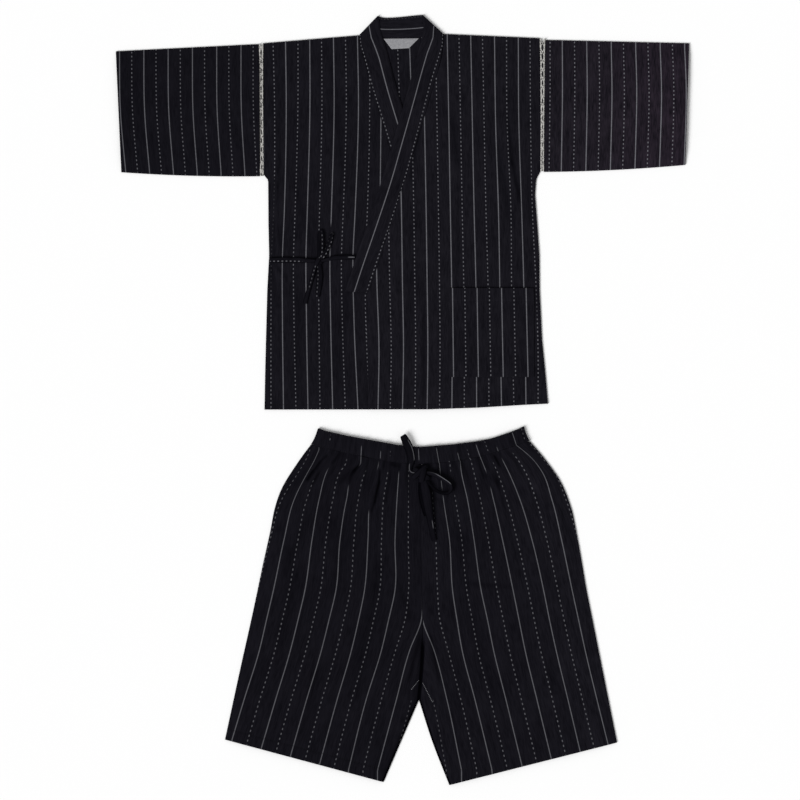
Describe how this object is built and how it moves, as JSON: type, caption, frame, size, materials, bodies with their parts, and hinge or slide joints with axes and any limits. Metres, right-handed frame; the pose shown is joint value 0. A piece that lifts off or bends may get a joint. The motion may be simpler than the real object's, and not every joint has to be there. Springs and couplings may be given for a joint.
{
  "type": "jinbei set",
  "caption": "Cross-over jacket with flat sleeves, openwork armhole strips, patch pocket and side ties, above gathered drawstring shorts, laid flat as a set.",
  "frame": {"origin": "under the middle of the laid-out set, on the surface it lies on", "axes": "+Y up the garments from the shorts to the jacket's collar, +Z out of the surface towards the viewer, +X to the viewer's right, which is the wearer's left"},
  "size_m": [1.1464, 1.54, 0.0164],
  "materials": {
    "striped_cotton": "matte near-black woven cotton with thin pale stripes, solid and dotted in turn",
    "openwork_cotton": "matte cream openwork cotton tape",
    "label_tape": "smooth pale grey label tape, bare"
  },
  "bodies": {
    "root": {"jacket_back": "striped_cotton", "front_under": "striped_cotton", "front_over": "striped_cotton", "collar": "striped_cotton", "pocket": "striped_cotton", "sleeve_right": "striped_cotton", "sleeve_left": "striped_cotton", "tie_side": "striped_cotton", "tie_front": "striped_cotton", "tie_knot": "striped_cotton", "tie_loop_up": "striped_cotton", "tie_loop_side": "striped_cotton", "tie_tail_side": "striped_cotton", "tie_tail_down": "striped_cotton", "leg_right": "striped_cotton", "leg_left": "striped_cotton", "waistband": "striped_cotton", "string_knot": "striped_cotton", "string_loop_up": "striped_cotton", "string_loop_right": "striped_cotton", "string_tail_long": "striped_cotton", "string_tail_short": "striped_cotton", "insert_right_front": "openwork_cotton", "insert_right_back": "openwork_cotton", "insert_left_front": "openwork_cotton", "insert_left_back": "openwork_cotton", "neck_label": "label_tape"}
  },
  "joints": []
}
